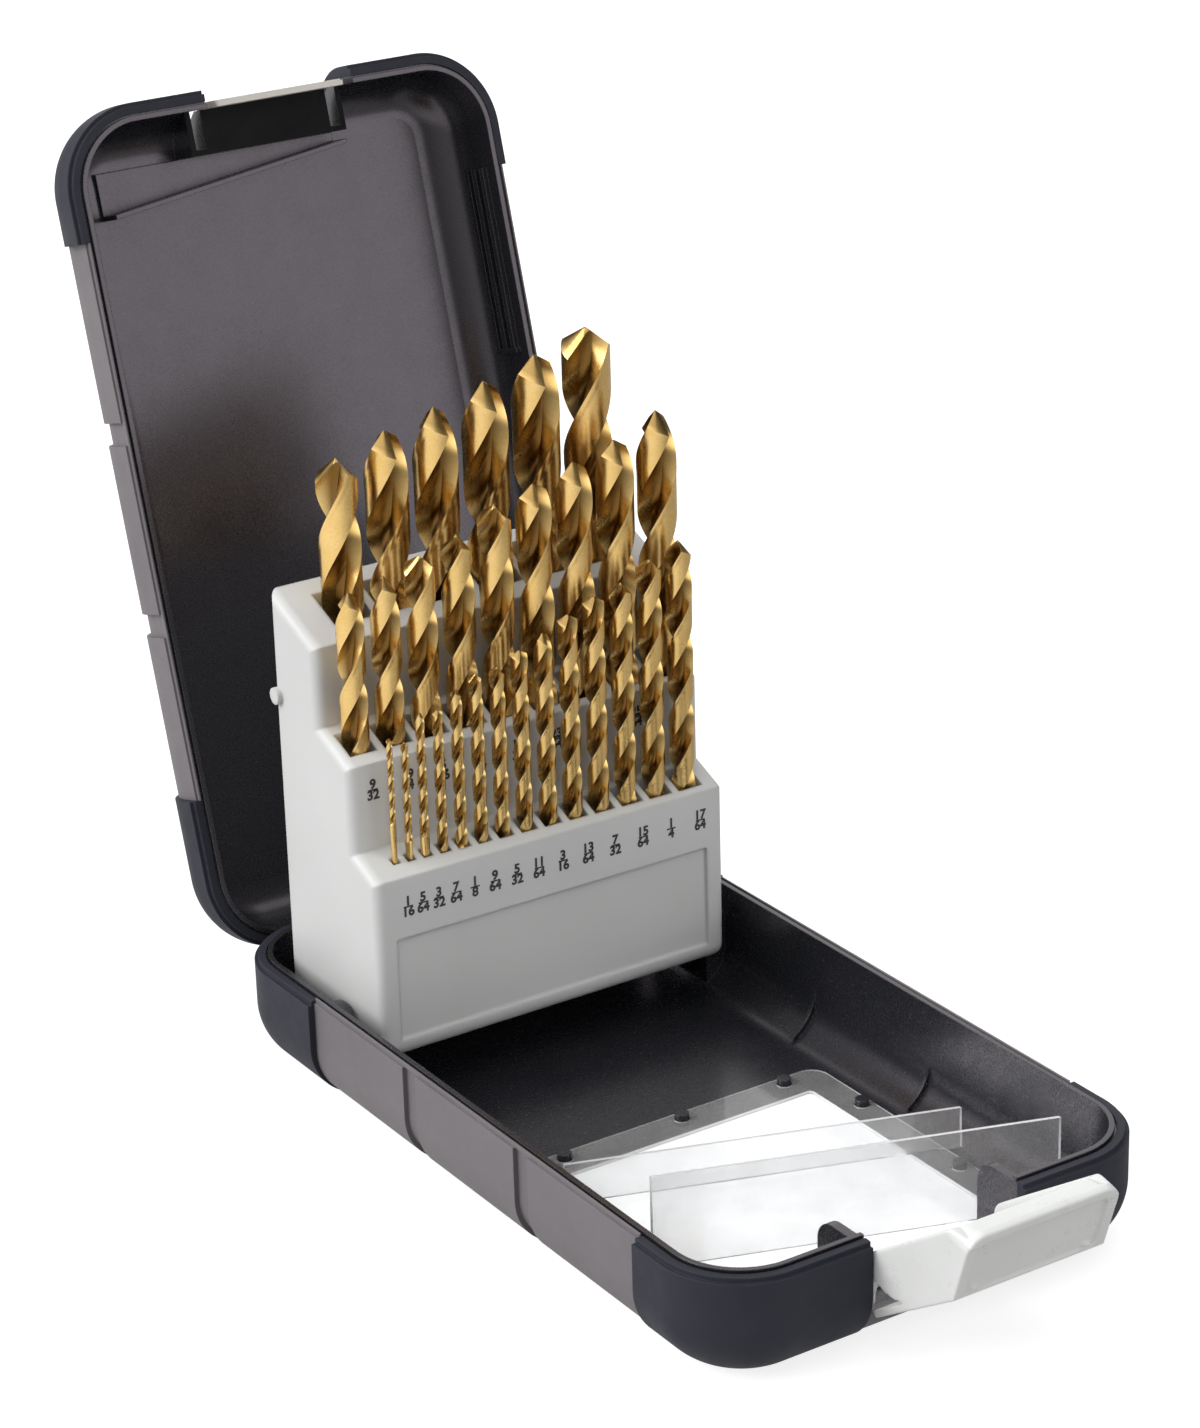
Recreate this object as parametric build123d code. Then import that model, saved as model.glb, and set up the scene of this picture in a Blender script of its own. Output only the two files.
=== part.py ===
"""Drill bit case: a hinged case whose holder stands its twist drills up as the lid opens.

Millimetres. X runs across the case, -Y to the latch, +Y to the hinge, +Z up.
The origin is the middle of the base's underside. The lid stands open, as at rest.
"""
import os
from math import cos, radians, sin, tan

from build123d import *

# ---------------------------------------------------------------- case
case_width = 124.0
case_length = 218.0
base_height = 30.0
lid_height = 23.0
wall = 3.0
floor_thickness = 2.0
corner_radius = 20.0            # of the plan, outside
edge_radius = 14.7              # where the walls roll into the floor, outside
inner_edge_radius = 10.5
rim_gap = 0.3                   # between the two rims when shut
lip_width = 1.3                 # inner lip along both rims
lip_groove_width = 0.8
lip_groove_depth = 1.2
ledge_depth = 0.5               # step on the outside just under both rims
ledge_drop = 1.3
side_groove_width = 6.0
side_groove_depth = 1.2
side_groove_y = (21.0, -29.0)

# ---------------------------------------------------------------- corner bumpers
bumper_proud = 1.75
bumper_seat = 1.2               # how deep a bumper sits in the shell
bumper_front_length = 31.0      # along the side walls, from the front face
bumper_back_length = 42.0
bumper_drop = 1.8               # outer skin stops this far under the rim
bumper_top_step = 1.0
bumper_back_span = 18.0         # along the back wall, from the side face
bumper_under = 3.0              # reach under the rolled edge stops this far outside the flat

# ---------------------------------------------------------------- lid hinge
hinge_inset = 1.2               # axis behind the back face
hinge_drop = 4.0                # axis under the base's rim
lid_open_angle = 106.1
hinge_pin_radius = 1.5
hinge_pin_clearance = 0.05
knuckle_radius = 3.2
knuckle_width = 10.0
knuckle_side_gap = 0.4
knuckle_swing_gap = 0.5
hinge_pair_offset = 27.0        # middle of each lid knuckle from the case's middle
pin_end_margin = 1.0

# ---------------------------------------------------------------- bit holder
holder_width = 104.0
holder_height = 112.6
holder_depth = 46.5
holder_back_gap = 12.0          # behind the upright holder, to the case's back face
holder_lift = 15.3              # its underside above the table
holder_edge_radius = 2.6
holder_foot_radius = 4.0
holder_floor_gap = 0.8          # under the holder when it lies shut
step_one_depth = 21.8           # back step, then the middle one, from the back face
step_two_depth = 36.0
step_slope = 23.0               # degrees that each step falls towards the front
step_one_foot = 82.3            # height where each riser meets the step below
step_two_foot = 53.4
back_row_depth = 10.5           # rows of drills, from the back face
middle_row_depth = 28.6
front_row_depth = 41.0
label_height = 27.5             # recessed label panel on the front
label_width = 93.0
label_foot = 5.0
label_depth = 0.8
peg_radius = 2.2                # small pegs on the holder's sides, by its back
peg_length = 1.2
peg_height = 85.0

# ---------------------------------------------------------------- holder pivot
pivot_height = 19.9
trunnion_radius = 3.0
trunnion_clearance = 0.06
boss_radius = 6.5
boss_gap = 1.0                  # between the holder's side and the boss
trunnion_end_gap = 0.3

# ---------------------------------------------------------------- drills
inch = 25.4
pocket_play = 0.5
front_row_web = 2.45            # material between neighbouring pockets
middle_row_web = 2.6
back_row_web = 3.0
point_angle = 118.0
# Each row: diameters in 64ths of an inch, overall lengths in inches, pocket floors in mm.
front_sizes = (4, 5, 6, 7, 8, 9, 10, 11, 12, 13, 14, 15, 16, 17)
front_lengths = (1.875, 2.0, 2.25, 2.625, 2.75, 2.875, 3.125, 3.25, 3.5, 3.625, 3.75, 3.875, 4.0, 4.125)
front_floors = (36.5, 31.2, 31.6, 21.5, 22.6, 22.0, 15.8, 15.6, 12.2, 12.2, 12.0, 10.6, 11.6, 11.6)
middle_sizes = (18, 19, 20, 21, 22, 23, 24, 25, 26)
middle_floors = (11.0, 9.8, 9.6, 9.6, 11.6, 11.6, 11.6, 11.6, 13.6)
back_sizes = (27, 28, 29, 30, 31, 32)
back_floors = (10.0, 11.2, 11.2, 11.8, 12.6, 13.6)
long_row_start = 4.25           # overall length of 9/32; each 64th above it adds an eighth
long_row_step = 0.125

# ---------------------------------------------------------------- window insert
window_back = 3.5               # in front of the case's middle
window_front = 82.0
window_corner = 1.5
window_left_inset = 7.0          # from the sheet's side to the window
window_right_inset = 8.0
plug_thickness = 1.7            # the insert fills the window from inside
plug_play = 0.2
sheet_thickness = 1.0
sheet_side_gap = 11.0           # from the inner side wall to the sheet
sheet_back = 5.5
sheet_front = 89.5
sheet_corner = 5.0
stop_thickness = 1.0
stop_slope = 19.3               # degrees; both stops run nearer the latch on the right
stop_left_inset = 6.0           # from the sheet's side
stop_right_gap = 7.3            # from the inner side wall
near_stop_height = 24.0         # in front of the middle row's points
far_stop_height = 10.5          # in front of the front row's points
near_stop_gap = 5.0
far_stop_gap = 1.2
stud_radius = 1.8
stud_play = 0.2
stud_height = 1.6               # above the sheet
stud_inset = 2.8                # of the side studs from the sheet's sides
back_stud_x = (-30.0, 4.7, 36.0)
back_stud_y = 2.6
right_stud_y = (-17.8, -57.0)
left_stud_y = (-17.8, -70.0)
front_stud_x = (-34.0, 34.0)
front_stud_y = -86.0

# ---------------------------------------------------------------- base details
rib_radius = 14.0               # concave edge of the two thin corner ribs on each side
rib_thickness = 1.2
rib_floor_gap = 1.4
rib_y = (21.0, -27.0)

# ---------------------------------------------------------------- latch
latch_gap = 43.0                # opening in the base's front wall
latch_gap_foot = 10.0
cheek_thickness = 2.5
cheek_reach = 15.7              # from the front face inwards
cheek_drop = 1.0
cheek_corner = 5.5
latch_side_gap = 0.4
latch_pivot_inset = 3.5         # axis behind the front face
latch_pin_radius = 1.5
latch_pin_clearance = 0.06
latch_pin_length = 2.0
latch_hub_radius = 3.2
latch_hub_gap = 0.3             # over the foot of the opening
latch_open_angle = 56.0
latch_skin = 1.8
latch_skin_gap = 0.5            # between the skin and the case's front face
latch_skin_lift = 6.0           # foot of the skin above the foot of the opening
latch_plate = 2.0
latch_plate_depth = 12.0        # the side plates reach this far behind the front face
latch_lobe_radius = 4.0         # lower inner corner of each plate
latch_lobe_height = 17.5
latch_notch = ((5.9, 21.1), (2.6, 23.3), (0.4, 26.4), (-0.5, 29.5))   # in each plate: depth, height
latch_slot_side = 0.6           # the lid's slots for the plates, beside each plate
hook_inset = 6.7                # the hooks stand this far inside the latch's sides
hook_width = 2.2
hook_reach = 10.0               # behind the front face
hook_gap = 0.7                  # between the hook and the edge that it catches
pull_knee = 4.3                 # bend of the skin under the shut lid's top
pull_knee_out = 0.8
pull_length = 18.4
pull_lean = 37.7                # degrees that the pull leans over the lid
pull_thickness = 2.2
pull_rim_height = 56.8          # inner edge of the rim along the pull's tip, when shut
pull_border = 3.0
pull_recess = 0.7
pull_corner = 3.0

# ---------------------------------------------------------------- lid details
latch_wall = 1.7                # the lid's front wall behind the latch
pocket_depth = 10.5             # pocket for the latch's hook, from the lid's top
latch_swing_gap = 1.0           # behind the latch's side plates, in the pocket
pocket_wall = 1.5
slot_guide = 1.2                # walls in the pocket beside the slots
lid_stop_height = 9.0           # slanted stop for the back row's points
lid_stop_thickness = 1.2
lid_stop_gap_left = 12.0        # from the inner side wall
lid_stop_right = 23.0
lid_stop_slope = 7.1
lid_stop_gap = 1.2
lid_pad_thickness = 1.2
lid_rib_length = 49.0
lid_rib_front = 78.0
lid_rib_depths = (5.0, 9.0, 13.0)
lid_rib_width = 1.2
lid_rib_proud = 1.4

# ---------------------------------------------------------------- places worked out
half_width = case_width / 2
half_length = case_length / 2
inner_half_width = half_width - wall
inner_half_length = half_length - wall
flat_half_width = half_width - edge_radius
flat_half_length = half_length - edge_radius
closed_height = base_height + rim_gap + lid_height
hinge_y = half_length - hinge_inset
hinge_z = base_height - hinge_drop
holder_back = half_length - holder_back_gap
holder_front = holder_back - holder_depth
pivot_y = holder_front - floor_thickness - holder_floor_gap + pivot_height
latch_y = latch_pivot_inset - half_length
latch_z = latch_gap_foot + latch_hub_gap + latch_hub_radius
latch_half_width = latch_gap / 2 - latch_side_gap
pocket_reach = latch_plate_depth + latch_swing_gap
sheet_top = floor_thickness + sheet_thickness
sheet_half_width = inner_half_width - sheet_side_gap
window_left = sheet_half_width - window_left_inset
window_right = sheet_half_width - window_right_inset
stop_left = sheet_half_width - stop_left_inset
stop_right = inner_half_width - stop_right_gap
lid_stop_left = inner_half_width - lid_stop_gap_left
side_stud_x = sheet_half_width - stud_inset
stud_places = ([(x, back_stud_y) for x in back_stud_x] + [(x, front_stud_y) for x in front_stud_x]
               + [(side_stud_x, y) for y in right_stud_y] + [(-side_stud_x, y) for y in left_stud_y])
shut_turn = pivot_y + pivot_height      # a point at height z lies at y = shut_turn - z when shut


# ---------------------------------------------------------------- helpers
def block(x0, x1, y0, y1, z0, z1):
    """Box between two corners."""
    centre = ((x0 + x1) / 2, (y0 + y1) / 2, (z0 + z1) / 2)
    return Pos(*centre) * Box(x1 - x0, y1 - y0, z1 - z0)


def rod(radius, x0, x1, y, z):
    """Cylinder along X."""
    return Pos((x0 + x1) / 2, y, z) * Rot(0, 90, 0) * Cylinder(radius, x1 - x0)


def side_prism(points, x0, x1):
    """Prism along X whose profile is given as (y, z) points."""
    face = make_face(Polyline(*[(x0, y, z) for y, z in points], close=True))
    return extrude(face, amount=x1 - x0, dir=(1, 0, 0))


def plan_prism(points, z0, z1):
    """Upright prism over a polygon of (x, y) points."""
    face = make_face(Polyline(*[(x, y, z0) for x, y in points], close=True))
    return extrude(face, amount=z1 - z0, dir=(0, 0, 1))


def tub(inset, foot, top, roll):
    """Rounded block, inset from the case's sides, with its lower edges rolled to a radius."""
    corner = corner_radius - inset
    plan = RectangleRounded(case_width - 2 * inset, case_length - 2 * inset, corner)
    solid = Pos(0, 0, foot) * extrude(plan, amount=top - foot)
    lower_edges = solid.edges().group_by(Axis.Z)[0]
    return fillet(lower_edges, min(roll, corner - 0.5))


def both_sides(shape):
    return [shape, mirror(shape, Plane.YZ)]


def turned(shape, axis_y, axis_z, angle):
    """Turns a shape about an axis along X."""
    return Pos(0, axis_y, axis_z) * Rot(angle, 0, 0) * Pos(0, -axis_y, -axis_z) * shape


def open_lid(shape):
    """Takes a lid shape from its own upside-down frame to the open lid."""
    shut = Pos(0, 0, closed_height) * Rot(0, 180, 0) * shape
    return turned(shut, hinge_y, hinge_z, -lid_open_angle)


# ---------------------------------------------------------------- shells and bumpers
def bumper_region(height, side, end):
    """Space at one corner that a bumper fills: side is -1 or 1 in X, end is -1 or 1 in Y."""
    reach = case_width
    y_start = half_length - (bumper_back_length if end > 0 else bumper_front_length)
    x_start = half_width - bumper_back_span if end > 0 else latch_gap / 2
    space = block(x_start, reach, y_start, case_length, -wall, height + wall)
    under = block(0, flat_half_width + bumper_under, 0, flat_half_length + bumper_under, -wall, wall)
    space -= under
    if side < 0:
        space = mirror(space, Plane.YZ)
    if end < 0:
        space = mirror(space, Plane.XZ)
    return space


def corners():
    return [(side, end) for end in (-1, 1) for side in (-1, 1)]


def bumper(height, side, end):
    """Corner bumper in the frame of its shell, rim upwards."""
    roll = edge_radius + bumper_proud
    skin = tub(-bumper_proud, 0, height - bumper_drop, roll)
    top = tub(bumper_top_step - bumper_proud, 0, height - lip_groove_depth / 2, roll - bumper_top_step)
    seat = tub(bumper_seat, bumper_seat, height + wall, edge_radius - bumper_seat)
    body = (skin + top - seat) & bumper_region(height, side, end)
    return body


def shell(height):
    """Open tray with seats for four bumpers, side grooves and a grooved rim."""
    outside = tub(0, 0, height, edge_radius)
    hollow = tub(wall, floor_thickness, height + wall, inner_edge_radius)
    body = outside - hollow
    core = tub(bumper_seat, bumper_seat, height + wall, edge_radius - bumper_seat)
    skin = outside - core
    for side, end in corners():
        body -= skin & bumper_region(height, side, end)
    groove_core = tub(side_groove_depth, side_groove_depth, height + wall, edge_radius - side_groove_depth)
    groove_skin = outside - groove_core
    for y in side_groove_y:
        for cut in both_sides(block(flat_half_width + bumper_under, case_width, y - side_groove_width / 2,
                                    y + side_groove_width / 2, -wall, height - ledge_drop)):
            body -= groove_skin & cut
    lip_outside = tub(wall - lip_width, height - lip_groove_depth, height + wall, 0.2)
    groove_outside = tub(wall - lip_width - lip_groove_width, height - lip_groove_depth, height + wall, 0.2)
    body -= groove_outside - lip_outside
    ledge_inside = tub(ledge_depth, height - ledge_drop, height + wall, 0.2)
    ledge_outside = tub(-wall, height - ledge_drop, height + wall, 0.2)
    body -= ledge_outside - ledge_inside
    return body


# ---------------------------------------------------------------- hinge
def knuckle_spans():
    """Lid knuckle spans and base knuckle spans along X."""
    half = knuckle_width / 2
    lid_spans = []
    base_spans = []
    for middle in (-hinge_pair_offset, hinge_pair_offset):
        lid_spans.append((middle - half, middle + half))
        outer = half + knuckle_side_gap
        base_spans.append((middle - outer - knuckle_width, middle - outer))
        base_spans.append((middle + outer, middle + outer + knuckle_width))
    return lid_spans, base_spans


def add_base_knuckles(body):
    lid_spans, base_spans = knuckle_spans()
    clear = knuckle_radius + knuckle_swing_gap
    for x0, x1 in lid_spans:
        body -= block(x0 - knuckle_side_gap, x1 + knuckle_side_gap, hinge_y - clear - wall,
                      half_length + wall, hinge_z - clear, base_height + wall)
    for x0, x1 in base_spans:
        body += rod(knuckle_radius, x0, x1, hinge_y, hinge_z)
    reach = hinge_pair_offset + 2 * knuckle_width
    body -= rod(hinge_pin_radius + hinge_pin_clearance, -reach, reach, hinge_y, hinge_z)
    rounded = block(-half_width, half_width, half_length - ledge_depth - 0.4, half_length + wall,
                    base_height - ledge_drop, base_height + wall)
    return body - rounded


def lid_knuckles():
    """Knuckles of the shut lid, each with the web that joins it to the lid's back wall."""
    lid_spans, _ = knuckle_spans()
    bore = hinge_pin_radius + hinge_pin_clearance
    shapes = []
    for x0, x1 in lid_spans:
        web = block(x0, x1, half_length - wall, half_length, hinge_z, base_height + rim_gap + lip_groove_depth)
        body = rod(knuckle_radius, x0, x1, hinge_y, hinge_z) + web
        shapes.append(body - rod(bore, x0 - 1, x1 + 1, hinge_y, hinge_z))
    return shapes


def hinge_pin():
    _, base_spans = knuckle_spans()
    end = max(x1 for _, x1 in base_spans) - pin_end_margin
    return rod(hinge_pin_radius, -end, end, hinge_y, hinge_z)


# ---------------------------------------------------------------- base
def window_block(play, foot, top):
    """Block through the window, smaller than the opening by a play on each side."""
    plan = RectangleRounded(window_left + window_right - 2 * play, window_front - window_back - 2 * play,
                            window_corner - play)
    return Pos((window_right - window_left) / 2, -(window_back + window_front) / 2, foot) * extrude(plan, top - foot)


def corner_rib(y):
    """Thin rib with a concave edge, low in the corner between the side wall and the floor."""
    top = floor_thickness + rib_radius
    foot = floor_thickness + rib_floor_gap
    side = block(inner_half_width - rib_radius, half_width - wall / 2, y - rib_thickness / 2,
                 y + rib_thickness / 2, foot, top)
    hollow = Pos(inner_half_width - rib_radius, y, top) * Rot(90, 0, 0) * Cylinder(rib_radius, 4 * rib_thickness)
    return side - hollow


def pivot_boss():
    """Boss on the inside of the side wall that carries one of the holder's trunnions."""
    inner_x = holder_width / 2 + boss_gap
    outer_x = half_width - wall / 2
    eye = rod(boss_radius, inner_x, outer_x, pivot_y, pivot_height)
    foot = block(inner_x, outer_x, pivot_y - boss_radius, pivot_y + boss_radius, floor_thickness, pivot_height)
    bore = rod(trunnion_radius + trunnion_clearance, inner_x - 1, trunnion_end() + trunnion_end_gap,
               pivot_y, pivot_height)
    return eye + foot - bore


def trunnion_end():
    return inner_half_width - trunnion_end_gap


def cheek():
    """Upright plate beside the latch opening, bored for the latch's pin."""
    x0 = latch_gap / 2
    body = block(x0, x0 + cheek_thickness, -half_length + wall / 2, -half_length + cheek_reach,
                 floor_thickness, base_height - cheek_drop)
    rear_top = body.edges().filter_by(Axis.X).group_by(Axis.Z)[-1].sort_by(Axis.Y)[-1]
    return fillet(rear_top, cheek_corner)


def base_shell():
    body = shell(base_height)
    inset = wall / 2
    solid_space = tub(inset, inset, base_height + wall, edge_radius - inset)
    for y in rib_y:
        for rib in both_sides(corner_rib(y)):
            body += rib & solid_space
    for boss in both_sides(pivot_boss()):
        body += boss & solid_space
    for plate in both_sides(cheek()):
        body += plate & solid_space
    gap = latch_gap / 2
    body -= block(-gap, gap, -case_length, -inner_half_length + cheek_thickness, latch_gap_foot, case_length)
    body -= rod(latch_pin_radius + latch_pin_clearance, -gap - latch_pin_length - 0.2,
                gap + latch_pin_length + 0.2, latch_y, latch_z)
    body -= window_block(0, -1, floor_thickness + 1)
    for x, y in stud_places:
        height = sheet_thickness + stud_height
        body += Pos(x, y, floor_thickness + height / 2) * Cylinder(stud_radius, height)
    return add_base_knuckles(body)


# ---------------------------------------------------------------- lid
def lid_stop_y(x):
    """Front side of the slanted stop, just beyond the points of the back row that it faces when shut."""
    slope = -tan(radians(lid_stop_slope))
    faced = [drill for drill in drills if drill["row"] == "back" and drill["x"] < lid_stop_right]
    reach = min(shut_turn - drill["tip"] - slope * drill["x"] for drill in faced)
    return reach - lid_stop_gap + slope * x


def lid_shell():
    """The lid in its own upside-down frame: rim upwards, and X reversed."""
    body = shell(lid_height)
    gap = latch_gap / 2
    front = -half_length
    inset = wall / 2
    # Behind the latch only a thin wall is left, with a pocket above it for the hook.
    body -= block(-gap, gap, front - wall, front + wall - latch_wall, -wall, lid_height + wall)
    housing = block(-gap - pocket_wall, gap + pocket_wall, front + inset,
                    front + pocket_reach + pocket_wall, floor_thickness / 2, pocket_depth + pocket_wall)
    body += housing & tub(inset, inset, lid_height, edge_radius - inset)
    body -= block(-gap, gap, front - wall, front + pocket_reach, -wall, pocket_depth)
    slot_in = latch_half_width - latch_plate - latch_slot_side
    for slot in both_sides(block(slot_in, gap, front - wall, front + pocket_reach,
                                 pocket_depth - pocket_wall, lid_height + wall)):
        body -= slot
    for guide in both_sides(block(slot_in - slot_guide, slot_in, front + wall, front + pocket_reach + inset,
                                  floor_thickness / 2, pocket_depth + pocket_wall / 2)):
        body += guide & tub(inset, inset, lid_height, edge_radius - inset)
    # In this frame X is reversed, so the stop is drawn for -x.
    left = (lid_stop_left, lid_stop_y(-lid_stop_left))
    right = (-lid_stop_right, lid_stop_y(lid_stop_right))
    across = lid_stop_thickness
    line = [left, right, (right[0], right[1] - across), (left[0], left[1] - across)]
    body += plan_prism(line, floor_thickness / 2, floor_thickness + lid_stop_height)
    pad_front = front + pocket_reach + pocket_wall
    pad = [left, right, (right[0], pad_front), (left[0], pad_front)]
    body += plan_prism(pad, floor_thickness / 2, floor_thickness + lid_pad_thickness)
    for depth in lid_rib_depths:
        z = lid_height - depth
        x = -inner_half_width
        body += block(x - wall / 2, x + lid_rib_proud, -lid_rib_front, lid_rib_length - lid_rib_front,
                      z - lid_rib_width / 2, z + lid_rib_width / 2)
    cross_y = lid_rib_length - lid_rib_front
    body += block(-inner_half_width - wall / 2, lid_rib_proud - inner_half_width, cross_y,
                  cross_y + lid_rib_width, lid_height - max(lid_rib_depths) - lid_rib_width,
                  lid_height - min(lid_rib_depths) + lid_rib_width)
    opened = open_lid(body)
    for knuckle in lid_knuckles():
        opened += turned(knuckle, hinge_y, hinge_z, -lid_open_angle)
    return opened


# ---------------------------------------------------------------- holder and drills
def row_places(sizes, web):
    """X of each drill in a row, centred, with the same web between neighbours."""
    diameters = [size * inch / 64 for size in sizes]
    places = [0.0]
    for before, after in zip(diameters, diameters[1:]):
        places.append(places[-1] + (before + after) / 2 + web)
    middle = (places[0] + places[-1]) / 2
    return [place - middle for place in places]


def drill_name(size):
    bottom = 64
    while size % 2 == 0:
        size //= 2
        bottom //= 2
    return f"drill_{size}_{bottom}"


def list_drills():
    """Every drill with its row, name, place, size, pocket floor and point height."""
    long_lengths = {size: long_row_start + (size - middle_sizes[0]) * long_row_step
                    for size in middle_sizes + back_sizes}
    rows = [
        ("front", front_sizes, front_lengths, front_floors, front_row_web, front_row_depth),
        ("middle", middle_sizes, [long_lengths[size] for size in middle_sizes],
         middle_floors, middle_row_web, middle_row_depth),
        ("back", back_sizes, [long_lengths[size] for size in back_sizes],
         back_floors, back_row_web, back_row_depth),
    ]
    found = []
    for row, sizes, lengths, floors, web, depth in rows:
        for x, size, length, floor in zip(row_places(sizes, web), sizes, lengths, floors):
            foot = holder_lift + floor
            found.append({"row": row, "name": drill_name(size), "x": x, "y": holder_back - depth,
                          "radius": size * inch / 128, "foot": foot, "tip": foot + length * inch})
    return found


def drill_solid(drill):
    """A straight drill with a plain body and a ground point."""
    radius = drill["radius"]
    point = radius / tan(radians(point_angle / 2))
    length = drill["tip"] - drill["foot"]
    body = Cylinder(radius, length - point, align=(Align.CENTER, Align.CENTER, Align.MIN))
    cone = Cone(radius, 0, point, align=(Align.CENTER, Align.CENTER, Align.MIN))
    return Pos(drill["x"], drill["y"], drill["foot"]) * (body + Pos(0, 0, length - point) * cone)


def holder_profile():
    """Side profile of the stepped holder, from the back face forwards."""
    fall = tan(radians(step_slope))
    top = holder_height
    depths = (step_one_depth, step_two_depth, holder_depth)
    one, two, three = depths
    points = [(0, 0), (0, top), (one, top - fall * one), (one, step_one_foot),
              (two, step_one_foot - fall * (two - one)), (two, step_two_foot),
              (three, step_two_foot - fall * (three - two)), (three, 0)]
    return [(holder_back - depth, holder_lift + height) for depth, height in points]


def bit_holder():
    half = holder_width / 2
    body = side_prism(holder_profile(), -half, half)
    foot = body.edges().filter_by(Axis.X).group_by(Axis.Z)[0].sort_by(Axis.Y)[0]
    body = fillet(foot, holder_foot_radius)
    sides = [edge for edge in body.edges() if abs(abs(edge.center().X) - half) < 0.01]
    body = fillet(sides, holder_edge_radius)
    panel_z = holder_lift + label_foot
    body -= block(-label_width / 2, label_width / 2, holder_front - 1, holder_front + label_depth,
                  panel_z, panel_z + label_height)
    for drill in drills:
        side = 2 * drill["radius"] + pocket_play
        body -= block(drill["x"] - side / 2, drill["x"] + side / 2, drill["y"] - side / 2,
                      drill["y"] + side / 2, drill["foot"], holder_lift + holder_height + 1)
    for pin in both_sides(rod(trunnion_radius, half - 1, trunnion_end(), pivot_y, pivot_height)):
        body += pin
    peg_y = holder_back - peg_radius
    for peg in both_sides(rod(peg_radius, half - 1, half + peg_length, peg_y, holder_lift + peg_height)):
        body += peg
    return body


# ---------------------------------------------------------------- window insert
def stop_line(row, gap):
    """Plan line of an upright stop that clears every point of a row when the holder lies shut."""
    slope = -tan(radians(stop_slope))
    reach = min(shut_turn - drill["tip"] - slope * drill["x"] for drill in drills if drill["row"] == row)
    offset = reach - gap
    return [(x, offset + slope * x) for x in (-stop_left, stop_right)]


def upright_stop(row, gap, height):
    (x0, y0), (x1, y1) = stop_line(row, gap)
    corners_xy = [(x0, y0), (x1, y1), (x1, y1 - stop_thickness), (x0, y0 - stop_thickness)]
    return plan_prism(corners_xy, sheet_top, sheet_top + height)


def window_insert():
    """Clear insert: a sheet over the window and the two upright stops for the drills' points."""
    plan = RectangleRounded(2 * sheet_half_width, sheet_back + sheet_front, sheet_corner)
    body = Pos(0, (sheet_back - sheet_front) / 2, floor_thickness) * extrude(plan, amount=sheet_thickness)
    body += window_block(plug_play, floor_thickness - plug_thickness, floor_thickness)
    for x, y in stud_places:
        body -= Pos(x, y, sheet_top) * Cylinder(stud_radius + stud_play, 4 * sheet_thickness)
    body += upright_stop("middle", near_stop_gap, near_stop_height)
    body += upright_stop("front", far_stop_gap, far_stop_height)
    return body


# ---------------------------------------------------------------- latch
def pull():
    """The pull as drawn flat: foot at y = 0, its outside facing -Z, with a bordered recess."""
    width = 2 * latch_half_width
    plan = Rectangle(width, pull_length, align=(Align.CENTER, Align.MIN))
    plate = extrude(plan, amount=pull_thickness)
    recess = Rectangle(width - 2 * pull_border, pull_length - pull_border - pull_recess,
                       align=(Align.CENTER, Align.MIN))
    hollow = extrude(recess, amount=pull_recess)
    hollow = fillet(hollow.edges().filter_by(Axis.Z), pull_corner / 2)
    return plate - Pos(0, pull_recess, 0) * hollow


def latch():
    """The latch is drawn shut against the case's front, then swung open."""
    face = -half_length - latch_skin_gap
    outer = face - latch_skin
    middle = (face + outer) / 2
    foot = latch_gap_foot + latch_skin_lift
    knee_z = closed_height - pull_knee
    knee_y = outer - pull_knee_out
    skin = side_prism([(outer, foot), (knee_y, knee_z), (knee_y + latch_skin, knee_z), (face, foot)],
                      -latch_half_width, latch_half_width)
    flap = Pos(0, knee_y, knee_z) * Rot(90 - pull_lean, 0, 0) * Rot(0, 180, 0) * pull()
    body = skin + flap
    # Side plates with a rounded lobe at the foot; a rim joins them along the pull's tip.
    plate_in = latch_half_width - latch_plate
    plate_y = latch_plate_depth - half_length
    lobe_y = plate_y - latch_lobe_radius
    tip_y = knee_y + pull_length * sin(radians(pull_lean))
    tip_z = knee_z + pull_length * cos(radians(pull_lean))
    notch = [(depth - half_length, height) for depth, height in latch_notch]
    outline = [(latch_y, latch_z - latch_hub_radius), (lobe_y, latch_lobe_height - latch_lobe_radius),
               (plate_y, latch_lobe_height), (plate_y, pull_rim_height), (tip_y, tip_z),
               (knee_y + latch_skin / 2, knee_z)]
    outline += reversed(notch)
    outline += [(latch_y - latch_hub_radius, latch_z)]
    plate = side_prism(outline, plate_in, latch_half_width)
    hub = rod(latch_hub_radius, plate_in, latch_half_width, latch_y, latch_z)
    lobe = rod(latch_lobe_radius, plate_in, latch_half_width, lobe_y, latch_lobe_height)
    pin = rod(latch_pin_radius, plate_in, latch_gap / 2 + latch_pin_length, latch_y, latch_z)
    body += side_prism([(tip_y, tip_z), (plate_y, pull_rim_height),
                        (plate_y - latch_skin, pull_rim_height - latch_skin / 2),
                        (tip_y - latch_skin, tip_z - latch_skin)], -latch_half_width, latch_half_width)
    # Hooks inside the plates reach over the edge of the lid's thin front wall.
    hook_z = closed_height - pocket_depth + hook_gap
    hook_y = hook_reach - half_length
    hook = side_prism([(middle, hook_z - latch_skin), (middle, hook_z), (hook_y, hook_z),
                       (hook_y, hook_z + 2 * latch_skin), (knee_y + latch_skin / 2, knee_z + latch_skin)],
                      latch_half_width - hook_inset, latch_half_width - hook_inset + hook_width)
    for piece in both_sides(plate + hub + lobe + pin) + both_sides(hook):
        body += piece
    return turned(body, latch_y, latch_z, latch_open_angle)


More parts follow.
